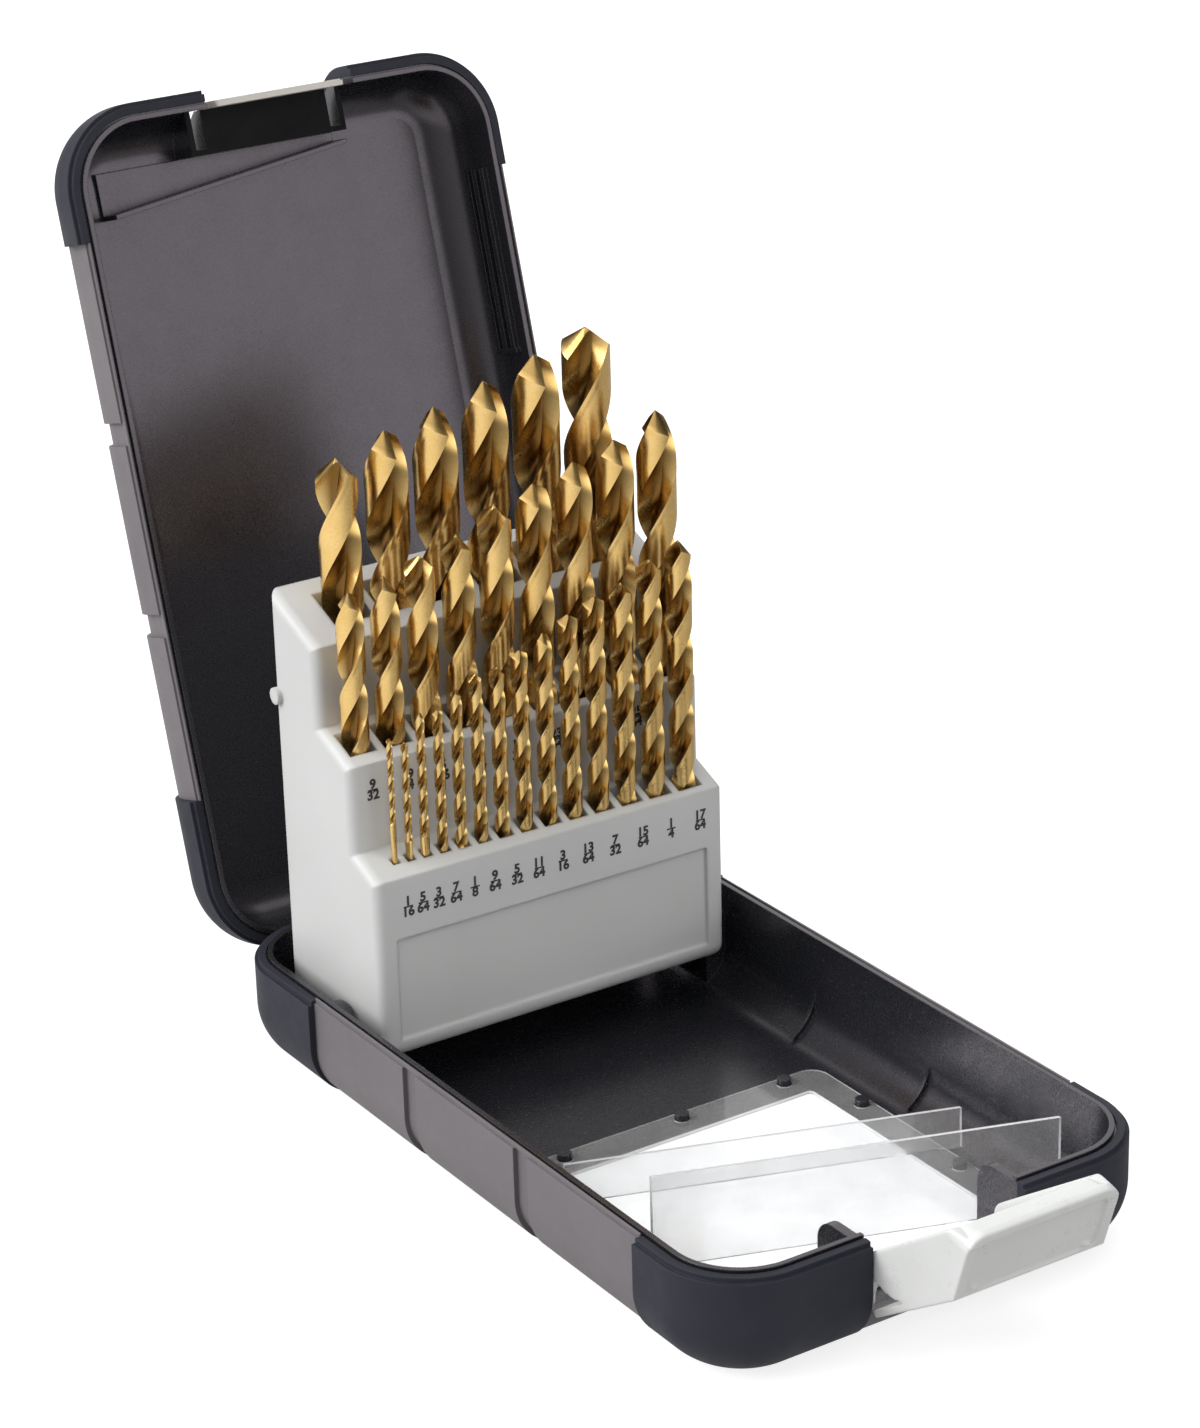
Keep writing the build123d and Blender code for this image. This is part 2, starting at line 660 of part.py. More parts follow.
# ---------------------------------------------------------------- export
def all_parts():
    """Every node's name and solid."""
    parts = {
        "base_shell": base_shell(),
        "lid_shell": lid_shell(),
        "bit_holder": bit_holder(),
        "window_insert": window_insert(),
        "latch": latch(),
        "hinge_pin": hinge_pin(),
    }
    words = {(-1, -1): "front_left", (1, -1): "front_right", (-1, 1): "back_left", (1, 1): "back_right"}
    for (side, end), where in words.items():
        parts[f"base_bumper_{where}"] = bumper(base_height, side, end)
        parts[f"lid_bumper_{where}"] = open_lid(bumper(lid_height, -side, end))
    for drill in drills:
        parts[drill["name"]] = drill_solid(drill)
    return parts


drills = list_drills()

os.makedirs("parts", exist_ok=True)
for name, solid in all_parts().items():
    export_step(solid, f"parts/{name}.step")
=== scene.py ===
"""Drill bit case with its lid open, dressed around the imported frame.

Metres. X runs across the case, -Y to the latch, +Y to the hinge, +Z up.
"""
from math import acos, cos, pi, radians, sin, tan

import bmesh
import bpy
from mathutils import Matrix, Vector


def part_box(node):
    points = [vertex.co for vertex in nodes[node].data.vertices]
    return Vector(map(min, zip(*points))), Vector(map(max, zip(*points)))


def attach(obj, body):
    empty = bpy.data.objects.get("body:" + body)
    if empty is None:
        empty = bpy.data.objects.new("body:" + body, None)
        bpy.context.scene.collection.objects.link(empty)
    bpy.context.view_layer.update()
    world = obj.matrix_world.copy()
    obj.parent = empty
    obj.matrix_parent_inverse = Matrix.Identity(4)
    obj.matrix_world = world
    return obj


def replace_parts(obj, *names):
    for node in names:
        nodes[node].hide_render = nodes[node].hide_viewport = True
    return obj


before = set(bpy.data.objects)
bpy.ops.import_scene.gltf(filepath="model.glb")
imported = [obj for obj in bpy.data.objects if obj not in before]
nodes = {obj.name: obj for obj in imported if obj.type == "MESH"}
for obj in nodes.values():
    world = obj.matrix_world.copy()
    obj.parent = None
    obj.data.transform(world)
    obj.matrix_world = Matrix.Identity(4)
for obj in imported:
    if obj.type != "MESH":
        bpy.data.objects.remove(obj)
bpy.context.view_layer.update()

MM = 0.001
INCH = 25.4 * MM
RECTANGLE = ((-1, -1), (1, -1), (1, 1), (-1, 1))    # signs of a rectangle's corners, in order

# ---------------------------------------------------------------- camera and picture
IMAGE_WIDTH = 1200              # pixels
FOCAL_PIXELS = 3989.46
SENSOR_WIDTH = 36.0             # millimetres, as Blender's lenses are
CAMERA_AZIMUTH = radians(-32.812)
CAMERA_ELEVATION = radians(22.433)
CAMERA_ROLL = radians(-1.625)
CAMERA_OFFSET = Vector((-17.908, 104.946, 986.67)) * MM     # right, up and back of the origin
CLIP_START = 0.05
CLIP_END = 30.0

# ---------------------------------------------------------------- case, as in the CAD
BASE_HEIGHT = 30.0 * MM
LID_HEIGHT = 23.0 * MM
HALF_WIDTH = 62.0 * MM
HALF_LENGTH = 109.0 * MM
EDGE_RADIUS = 14.7 * MM
WALL = 3.0 * MM
RIM_GAP = 0.3 * MM
HINGE = Vector((0, 107.8 * MM, 26.0 * MM))
LID_OPEN = radians(106.1)
STRIP_HALF_WIDTH = 18.6 * MM    # the lid's thin front wall, between the slots for the latch
POCKET_HALF_WIDTH = 23.1 * MM
POCKET_REACH = 14.6 * MM        # behind the front face
POCKET_DEPTH = 10.5 * MM        # from the lid's top
POCKET_TOP = 12.0 * MM
SHEET_TOP = 3.0 * MM            # of the clear insert, where its two stops start
SKIN = 0.45                     # outer share of a wall that is textured
UNDERSIDE = 0.4 * MM            # textured too, up to here
NEAR = 0.1 * MM                 # a face this close to a plane lies in it

# ---------------------------------------------------------------- latch, swung out
PULL_FOOT = Vector((-138.6, 27.9)) * MM     # y and z of the pull's two ends
PULL_TIP = Vector((-144.4, 45.3)) * MM
PULL_HALF_WIDTH = 21.1 * MM
PULL_CORNER = 4.5 * MM          # radius of the two free corners
LATCH_CELL = 0.35 * MM          # the larger the cells, the rounder the edges
LATCH_ROUNDS = 6

# ---------------------------------------------------------------- size labels
HOLDER_FRONT = 50.5 * MM
STEP_FACE = 61.0 * MM           # front face of the middle step
LABEL_STANDOFF = 0.04 * MM
LABEL_DIGIT = 2.5 * MM          # height of a digit
LABEL_PITCH = 2.9 * MM          # from one line of digits to the other
LABEL_BAR = 2.7 * MM            # the line of a fraction, and its thickness
LABEL_BAR_THICKNESS = 0.42 * MM
DIGIT_SHARE = 0.72              # height of a digit, as a share of the font's size
DIGIT_WEIGHT = 0.06             # strokes grow outwards by this share of a digit's height
FRONT_LABEL_Z = 56.3 * MM
MIDDLE_LABEL_Z = 84.6 * MM
MIDDLE_SIZES = range(18, 27)    # in 64ths of an inch
# Top, bottom and place across in mm of each label on the holder's front.
FRONT_LABELS = (
    ("1", "16", -43.0), ("5", "64", -38.7), ("3", "32", -34.1), ("7", "64", -29.1), ("1", "8", -23.6),
    ("9", "64", -17.7), ("5", "32", -11.2), ("11", "64", -4.7), ("3", "16", 2.5), ("13", "64", 10.1),
    ("7", "32", 18.3), ("15", "64", 26.8), ("1", "4", 35.5), ("17", "64", 44.5),
)

# ---------------------------------------------------------------- drills
SMALLEST = 4                    # in 64ths of an inch
# Flute lengths in inches of jobber drills, for 4/64 to 32/64.
FLUTE_LENGTHS = (
    0.875, 1.0, 1.25, 1.5, 1.625, 1.75, 2.0, 2.125, 2.3125, 2.4375, 2.5, 2.625, 2.75, 2.875, 2.9375,
    3.0625, 3.1875, 3.3125, 3.4375, 3.5, 3.625, 3.75, 3.875, 3.9375, 4.0625, 4.1875, 4.3125, 4.375, 4.5,
)
# How each drill happens to be turned in its pocket.
TURN_STEP = radians(15)
TURNS = (
    6, 8, 4, 1, 5, 9, 8, 1, 3, 0, 0, 7, 8, 6, 4, 5, 9, 6.5, 8, 2, 2.5, 2.5, 3.5, 7.5, 3, 3.5, 3, 2.5, 9.5,
)
POINT_ANGLE = radians(118)
HELIX_ANGLE = radians(30)
LIP_RELIEF = tan(radians(21))
MARGIN = radians(11)            # narrow full-size strip along each land's leading edge
BACKED_OFF = 0.982              # body behind the margin, as a share of the radius
WEB = 0.20                      # half the web, as a share of the radius
CUTTER = 0.76                   # radius of the arc that each flute follows, as a share too
FLUTE_HALF = acos(((CUTTER + WEB) ** 2 + 1 - CUTTER ** 2) / (2 * (CUTTER + WEB)))
LAND = pi - 2 * FLUTE_HALF      # land, margin included
RUNOUT = 1.1                    # radii over which a flute fades into the shank
CHAMFER = 0.12                  # at the shank's end, as a share of the radius
POINT_SHADE = 0.62              # the ground point takes the painted shade of a flute at this share of the radius
RING = 72                       # points round a drill's section
RUNOUT_RINGS = 6
LEAD_RINGS = 40                 # rings in one turn of the flutes
FEWEST_RINGS = 12
POINT_RINGS = (0.75, 0.5, 0.25, 0.08)
CREASE = radians(32)            # edges sharper than this stay sharp

# ---------------------------------------------------------------- floor and light
FLOOR_TONE = 0.40
FLOOR_REACH = 6.0
FLOOR_DROP = 0.02 * MM          # below the case
FLOOR_SEEN = 0.80               # glow that only the camera sees, where 1 is white
FLOOR_THROUGH = 1.0             # glow seen through the clear insert
FLOOR_MIRRORED = 0.82           # glow in reflections, which fades out to the right
FADE_ALONG = (-0.95, -0.1, 0.0)
FADE_START, FADE_END = -0.17, 0.32
# Each glow of the sky: direction, cosines where it starts and ends, and its level at both.
SKY = (
    ((-0.62, 0.15, 0.78), -0.4, 1.1, 0.06, 0.85),       # broad, from the left and above
    ((0.48, -0.86, 0.16), 0.87, 0.99, 0.0, 2.2),        # soft box low in front on the right
    ((0.50, 0.76, 0.40), 0.80, 0.97, 0.0, 0.9),         # soft box behind on the right
)


# ---------------------------------------------------------------- node trees
class Tree:
    """A node tree with short calls for adding and linking nodes."""

    def __init__(self, owner):
        owner.use_nodes = True
        self.nodes = owner.node_tree.nodes
        self.links = owner.node_tree.links

    def add(self, kind, settings=None, **inputs):
        """Adds a node. Inputs are named with _ for a space, and a socket as value is linked."""
        made = self.nodes.new("ShaderNode" + kind)
        for key, value in (settings or {}).items():
            setattr(made, key, value)
        for key, value in inputs.items():
            self.feed(made.inputs[key.replace("_", " ")], value)
        return made

    def feed(self, socket, value):
        if isinstance(value, bpy.types.NodeSocket):
            self.links.new(value, socket)
        else:
            socket.default_value = value

    def pair(self, kind, settings, first, second):
        """Adds a node that takes two inputs."""
        made = self.add(kind, settings)
        self.feed(made.inputs[0], first)
        self.feed(made.inputs[1], second)
        return made

    def math(self, operation, first, second):
        return self.pair("Math", {"operation": operation}, first, second).outputs[0]

    def dot(self, first, second):
        return self.pair("VectorMath", {"operation": "DOT_PRODUCT"}, first, second).outputs["Value"]

    def ramp(self, value, low, high, start, end, kind="LINEAR"):
        """Maps value from the range start...end to low...high, clamped."""
        made = self.add("MapRange", {"interpolation_type": kind}, Value=value,
                        From_Min=start, From_Max=end, To_Min=low, To_Max=high)
        return made.outputs["Result"]


class Finish(Tree):
    """A material around the Principled shader."""

    def __init__(self, name):
        self.material = bpy.data.materials.new(name)
        super().__init__(self.material)
        self.shader = self.nodes["Principled BSDF"]
        self.output = self.nodes["Material Output"]

    def set(self, name, value):
        """A constant or a socket for one of the shader's inputs."""
        self.feed(self.shader.inputs[name], value)

    def position(self):
        return self.add("TexCoord").outputs["Object"]

    def stretched(self, vector, scale, rotation=(0, 0, 0)):
        return self.add("Mapping", Vector=vector, Rotation=rotation, Scale=scale).outputs["Vector"]

    def noise(self, vector, scale, detail=3.0, roughness=0.5):
        made = self.add("TexNoise", Vector=vector, Scale=scale, Detail=detail, Roughness=roughness)
        return made.outputs["Fac"]

    def spread(self, noise, low, high):
        """Maps the middle of a noise, where most of it lies, to low...high."""
        return self.ramp(noise, low, high, start=0.3, end=0.7)

    def mix(self, factor, first, second, blend="MIX"):
        """Mixes two colours."""
        made = self.add("Mix", {"data_type": "RGBA", "blend_type": blend})
        for place, value in ((0, factor), (6, first), (7, second)):
            self.feed(made.inputs[place], value)
        return made.outputs[2]

    def blend(self, factor, first, second):
        """Mixes two shaders."""
        made = self.add("MixShader")
        for place, value in enumerate((factor, first, second)):
            self.feed(made.inputs[place], value)
        return made.outputs[0]

    def rounded_normal(self, radius):
        return self.add("Bevel", {"samples": 4}, Radius=radius).outputs["Normal"]

    def edge(self, radius):
        """About 0 on flat places, rising to 1 on sharp outer and inner edges."""
        true = self.add("NewGeometry").outputs["True Normal"]
        alike = self.dot(self.rounded_normal(radius), true)
        return self.ramp(alike, 1.0, 0.0, start=0.72, end=0.99)

    def bump(self, height, distance, strength=1.0, normal=None):
        made = self.add("Bump", Height=height, Distance=distance, Strength=strength)
        if normal is not None:
            self.feed(made.inputs["Normal"], normal)
        return made.outputs["Normal"]


def colour(red, green, blue):
    return (red, green, blue, 1.0)


# ---------------------------------------------------------------- materials
def moulded(name, base, pale, edge_highlight_tone, roughness, grain, grain_depth,
            specular=0.5, rounding=0.35 * MM, wear=0.08):
    """Moulded plastic or rubber: fine grain, slow mottling, handling marks and a painted highlight along the
    edges, in patches.
    """
    tree = Finish(name)
    where = tree.position()
    slow = tree.noise(where, scale=28.0, detail=4.0)
    fine = tree.noise(where, scale=grain, detail=2.0, roughness=0.6)
    smudge = tree.noise(where, scale=110.0, detail=6.0, roughness=0.65)
    body = tree.mix(tree.spread(slow, 0.0, 1.0), base, pale)
    # Painted highlight: outer and inner edges are mixed towards the paler edge tone, in patches set by the
    # smudge noise.
    edge_highlight = tree.math("MULTIPLY", tree.edge(0.5 * MM), tree.ramp(smudge, 0.35, 1.0, start=0.35, end=0.6))
    tree.set("Base Color", tree.mix(tree.math("MULTIPLY", edge_highlight, 0.6), body, edge_highlight_tone))
    rough = tree.spread(smudge, roughness - wear, roughness + wear)
    tree.set("Roughness", tree.math("ADD", rough, tree.spread(fine, -0.03, 0.03)))
    grained = tree.bump(fine, grain_depth, normal=tree.rounded_normal(rounding))
    tree.set("Normal", tree.bump(slow, 0.05 * MM, strength=0.3, normal=grained))
    tree.set("Specular IOR Level", specular)
    return tree


def textured_shell():
    """Dark grey skin of the side panels, with a fine moulded texture. Its grey, far lighter than the inside
    of the same mouldings, is partly painted sheen of the grain.
    """
    return moulded("textured_shell", colour(0.128, 0.115, 0.124), colour(0.152, 0.138, 0.147),
                   edge_highlight_tone=colour(0.21, 0.195, 0.205), roughness=0.52, grain=3200.0, grain_depth=0.035 * MM)


def smooth_shell():
    """Polished inside of the same mouldings, near black."""
    tree = moulded("smooth_shell", colour(0.0125, 0.0135, 0.0165), colour(0.0175, 0.018, 0.0215),
                   edge_highlight_tone=colour(0.060, 0.060, 0.068), roughness=0.27, grain=1500.0,
                   grain_depth=0.002 * MM, specular=0.75, wear=0.025)
    tree.set("Specular Tint", colour(1.0, 0.90, 1.0))
    return tree


def bumper_rubber():
    """Matt blue-black rubber."""
    return moulded("bumper_rubber", colour(0.023, 0.0245, 0.034), colour(0.030, 0.031, 0.043),
                   edge_highlight_tone=colour(0.066, 0.065, 0.076), roughness=0.58, grain=2600.0, grain_depth=0.02 * MM,
                   specular=0.2)


def holder_plastic():
    """Pale grey plastic with well rounded edges."""
    return moulded("holder_plastic", colour(0.565, 0.57, 0.562), colour(0.60, 0.605, 0.597),
                   edge_highlight_tone=colour(0.66, 0.665, 0.66), roughness=0.42, grain=2200.0, grain_depth=0.008 * MM,
                   rounding=1.1 * MM)


def latch_plastic():
    """Off-white, slightly translucent polypropylene."""
    tree = moulded("latch_plastic", colour(0.65, 0.66, 0.65), colour(0.71, 0.72, 0.71),
                   edge_highlight_tone=colour(0.84, 0.85, 0.84), roughness=0.33, grain=1800.0, grain_depth=0.006 * MM)
    tree.set("Subsurface Weight", 0.35)
    tree.set("Subsurface Radius", (1.0, 0.95, 0.85))
    tree.set("Subsurface Scale", 2.5 * MM)
    return tree


def clear_plastic():
    """Clear acrylic with faint scratches; its shadow lets most light through."""
    tree = Finish("clear_plastic")
    where = tree.position()
    scratched = tree.stretched(where, scale=(60.0, 2400.0, 1200.0), rotation=(0, 0, 0.6))
    scratch = tree.noise(scratched, scale=1.0, detail=2.0, roughness=0.7)
    smudge = tree.noise(where, scale=55.0, detail=4.0, roughness=0.6)
    tone = tree.ramp(smudge, 0.0, 1.0, start=0.3, end=0.8)
    tree.set("Base Color", tree.mix(tone, colour(0.975, 0.985, 0.99), colour(0.94, 0.95, 0.955)))
    tree.set("Roughness", tree.ramp(smudge, 0.015, 0.09, start=0.4, end=0.8))
    tree.set("Normal", tree.bump(scratch, 0.004 * MM, strength=0.5))
    tree.set("Transmission Weight", 1.0)
    tree.set("IOR", 1.49)
    haze = tree.add("BsdfDiffuse", Color=colour(0.93, 0.915, 0.91)).outputs[0]
    hazy = tree.blend(tree.ramp(smudge, 0.13, 0.20, start=0.35, end=0.75), tree.shader.outputs[0], haze)
    through = tree.add("BsdfTransparent", Color=colour(0.93, 0.94, 0.95)).outputs[0]
    shadow = tree.add("LightPath").outputs["Is Shadow Ray"]
    tree.feed(tree.output.inputs["Surface"], tree.blend(shadow, hazy, through))
    return tree


def cut_edge():
    """The sawn edge of clear plastic, frosted; its pale colour is partly painted highlight, for the bright
    lines along the edges.
    """
    tree = Finish("clear_plastic_edge")
    fine = tree.noise(tree.position(), scale=1800.0, roughness=0.6)
    tree.set("Base Color", tree.mix(fine, colour(0.70, 0.71, 0.72), colour(0.92, 0.93, 0.94)))
    tree.set("Roughness", tree.spread(fine, 0.25, 0.5))
    tree.set("Normal", tree.bump(fine, 0.02 * MM, strength=0.6))
    tree.set("Transmission Weight", 0.35)
    return tree


def coated_steel():
    """Ground steel with a golden hard coating, with painted shade in the flutes; grinding lines follow them.
    """
    tree = Finish("golden_coated_steel")
    lines = tree.stretched(tree.add("UVMap").outputs["UV"], scale=(500.0, 18.0, 1.0))
    ground = tree.noise(lines, scale=1.0, roughness=0.65)
    where = tree.position()
    slow = tree.noise(where, scale=160.0)
    spots = tree.noise(where, scale=1400.0, roughness=0.7)
    tone = tree.mix(tree.spread(slow, 0.0, 1.0), colour(0.70, 0.465, 0.165), colour(0.78, 0.54, 0.215))
    tone = tree.mix(tree.ramp(spots, 0.0, 0.35, start=0.45, end=0.8), tone, colour(0.50, 0.31, 0.10))
    # Painted shade: darker where the surface lies below the full radius, most in the flutes and on the point.
    share = tree.add("Attribute", {"attribute_name": "share"}).outputs["Fac"]
    out = tree.ramp(share, 0.0, 1.0, start=0.25, end=0.97)
    shade = tree.mix(out, colour(0.22, 0.17, 0.115), colour(1, 1, 1))
    tree.set("Base Color", tree.mix(1.0, tone, shade, "MULTIPLY"))
    tree.set("Metallic", 1.0)
    tree.set("Roughness", tree.math("ADD", tree.spread(slow, 0.24, 0.30), tree.spread(ground, -0.03, 0.05)))
    tree.set("Normal", tree.bump(ground, 0.004 * MM, strength=0.4))
    return tree


def drawn_steel():
    """Bare steel with drawing lines along the hinge pin."""
    tree = Finish("drawn_steel")
    lines = tree.stretched(tree.position(), scale=(60.0, 3000.0, 3000.0))
    drawn = tree.noise(lines, scale=1.0, roughness=0.6)
    tree.set("Base Color", tree.mix(drawn, colour(0.42, 0.42, 0.43), colour(0.6, 0.6, 0.6)))
    tree.set("Metallic", 1.0)
    tree.set("Roughness", tree.spread(drawn, 0.22, 0.42))
    tree.set("Normal", tree.bump(drawn, 0.01 * MM, strength=0.5))
    return tree


def printed_ink():
    """Black ink, thin in small spots."""
    tree = Finish("printed_ink")
    speckle = tree.noise(tree.position(), scale=5200.0, roughness=0.7)
    thin = tree.ramp(speckle, 0.0, 1.0, start=0.5, end=0.85)
    tree.set("Base Color", tree.mix(thin, colour(0.018, 0.018, 0.02), colour(0.16, 0.16, 0.16)))
    tree.set("Roughness", tree.spread(speckle, 0.35, 0.55))
    return tree


def shaded_recess():
    """Floor of the lid's pocket for the latch, almost black: painted shade, standing for the deep shade
    inside the pocket.
    """
    return moulded("shaded_recess", colour(0.003, 0.003, 0.004), colour(0.005, 0.005, 0.006),
                   edge_highlight_tone=colour(0.045, 0.046, 0.048), roughness=0.6, grain=1500.0, grain_depth=0.006 * MM,
                   specular=0.15)


def lip_painted_reflection():
    """Strip of the lid's front wall, where the latch goes over it, painted pale: a painted reflection of the
    bright surroundings at a grazing angle.
    """
    return moulded("lip_painted_reflection", colour(0.60, 0.57, 0.52), colour(0.66, 0.63, 0.58),
                   edge_highlight_tone=colour(0.7, 0.68, 0.64), roughness=0.5, grain=2600.0, grain_depth=0.01 * MM)


FINISHES = {
    "panel": textured_shell,
    "inside": smooth_shell,
    "rubber": bumper_rubber,
    "holder": holder_plastic,
    "latch": latch_plastic,
    "clear": clear_plastic,
    "clear_edge": cut_edge,
    "gold": coated_steel,
    "pin": drawn_steel,
    "ink": printed_ink,
    "recess": shaded_recess,
    "lip": lip_painted_reflection,
}
materials = {name: make().material for name, make in FINISHES.items()}


# ---------------------------------------------------------------- CAD nodes that stay
INSIDE, OUTSIDE, LIP, RECESS = range(4)     # material slots of the lid; the base has the first two


def paint(node, *names):
    """Gives a CAD node its materials, the first one everywhere."""
    data = nodes[node].data
    data.materials.clear()
    for name in names:
        data.materials.append(materials[name])


def shut_frame(point):
    """A point on the open lid, taken to the shut lid with its top downwards, as the base stands."""
    offset = Vector(point) - HINGE
    turned = Matrix.Rotation(LID_OPEN, 3, "X") @ offset + HINGE
    return Vector((turned.x, turned.y, BASE_HEIGHT + RIM_GAP + LID_HEIGHT - turned.z))


def is_outside(point):
    """True on the outer skin of a tub that stands like the base."""
    across = max(abs(point.x) - (HALF_WIDTH - EDGE_RADIUS), 0.0)
    along = max(abs(point.y) - (HALF_LENGTH - EDGE_RADIUS), 0.0)
    down = max(EDGE_RADIUS - point.z, 0.0)
    reach = max((across ** 2 + down ** 2) ** 0.5, (along ** 2 + down ** 2) ** 0.5)
    return reach > EDGE_RADIUS - SKIN * WALL or point.z < UNDERSIDE


def paint_shell(node, place):
    """Textured skin outside, smooth plastic inside."""
    paint(node, "inside", "panel")
    for polygon in nodes[node].data.polygons:
        polygon.material_index = OUTSIDE if is_outside(place(polygon.center)) else INSIDE


def paint_latch_bay():
    """On the lid: a strip where the latch goes over the rim, painted pale as a reflection, and painted shade
    on the floor of the pocket behind it.
    """
    data = nodes["lid_shell"].data
    data.materials.append(materials["lip"])
    data.materials.append(materials["recess"])
    for polygon in data.polygons:
        point = shut_frame(polygon.center)
        from_front = point.y + HALF_LENGTH
        in_strip = abs(point.x) < STRIP_HALF_WIDTH and from_front < WALL + NEAR
        in_pocket = abs(point.x) < POCKET_HALF_WIDTH and from_front < POCKET_REACH
        # Painted reflection: the strip over the rim takes the pale material.
        if in_strip and point.z > POCKET_DEPTH:
            polygon.material_index = LIP
        # Painted shade: the pocket's floor takes the near-black material.
        elif in_pocket and abs(point.z - POCKET_TOP) < NEAR:
            polygon.material_index = RECESS


def paint_insert():
    """The narrow faces of the clear insert are its cut edges."""
    paint("window_insert", "clear", "clear_edge")
    for polygon in nodes["window_insert"].data.polygons:
        height, normal = polygon.center.z, polygon.normal
        on_stop = height > SHEET_TOP + 1 * MM
        stop_edge = on_stop and (normal.z > 0.9 or abs(normal.x) > 0.6)
        sheet_edge = height < SHEET_TOP and abs(normal.z) < 0.3
        polygon.material_index = int(stop_edge or sheet_edge)


paint_shell("base_shell", lambda point: point)
paint_shell("lid_shell", shut_frame)
paint_latch_bay()
for name in nodes:
    if "bumper" in name:
        paint(name, "rubber")
paint("bit_holder", "holder")
paint("hinge_pin", "pin")
paint_insert()


# ---------------------------------------------------------------- pieces
def add_piece(name, data, body):
    """A mesh as a piece that moves with a body."""
    piece = bpy.data.objects.new(name, data)
    bpy.context.scene.collection.objects.link(piece)
    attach(piece, body)
    return piece


def coat(data, material):
    """One material all over a mesh, with smooth shading."""
    data.materials.clear()
    data.materials.append(materials[material])
    for polygon in data.polygons:
        polygon.use_smooth = True


# ---------------------------------------------------------------- latch
PULL_LENGTH = (PULL_TIP - PULL_FOOT).length
PULL_ALONG = (PULL_TIP - PULL_FOOT) / PULL_LENGTH


def softened(node):
    """A copy of a CAD node's mesh with all edges rounded, as on a soft moulding."""
    rough = bpy.data.objects.new("rough", nodes[node].data)
    bpy.context.scene.collection.objects.link(rough)
    cells = rough.modifiers.new("cells", "REMESH")
    cells.mode = "VOXEL"
    cells.voxel_size = LATCH_CELL
    settle = rough.modifiers.new("settle", "SMOOTH")
    settle.factor = 0.5
    settle.iterations = LATCH_ROUNDS
    data = bpy.data.meshes.new_from_object(rough.evaluated_get(bpy.context.evaluated_depsgraph_get()))
    bpy.data.objects.remove(rough)
    return data


def pressed_in(spot):
    """A point of the pull, with the square at each free corner pressed into a quarter disc."""
    across = (abs(spot.x) - PULL_HALF_WIDTH) / PULL_CORNER + 1
    up = ((Vector((spot.y, spot.z)) - PULL_FOOT).dot(PULL_ALONG) - PULL_LENGTH) / PULL_CORNER + 1
    if across <= 0 or up <= 0:
        return spot
    inward = 1 - max(across, up) / (across ** 2 + up ** 2) ** 0.5
    down = PULL_ALONG * (inward * up * PULL_CORNER)
    side = inward * across * PULL_CORNER
    return Vector((spot.x - side if spot.x > 0 else spot.x + side, spot.y - down.x, spot.z - down.y))


def rounded_latch():
    """The latch as one soft moulding; the pull's two free corners are arcs."""
    data = softened("latch")
    for vertex in data.vertices:
        vertex.co = pressed_in(vertex.co)
    coat(data, "latch")
    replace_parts(add_piece("latch_rounded", data, "latch"), "latch")


rounded_latch()


# ---------------------------------------------------------------- drills
def section(turn):
    """Share of the radius at an angle round the section; the land starts at 0 in each half turn."""
    turn %= pi
    if turn < MARGIN:
        return 1.0
    if turn < LAND:
        return BACKED_OFF
    aside = turn - LAND - FLUTE_HALF
    reach = CUTTER + WEB
    return min(reach * cos(aside) - (CUTTER ** 2 - (reach * sin(aside)) ** 2) ** 0.5, BACKED_OFF)


def lip_fall(turn):
    """How far the point falls away behind its cutting lips, per distance from the axis."""
    turn %= pi
    return LIP_RELIEF * (turn if turn < LAND else LAND * (pi - turn) / (pi - LAND))


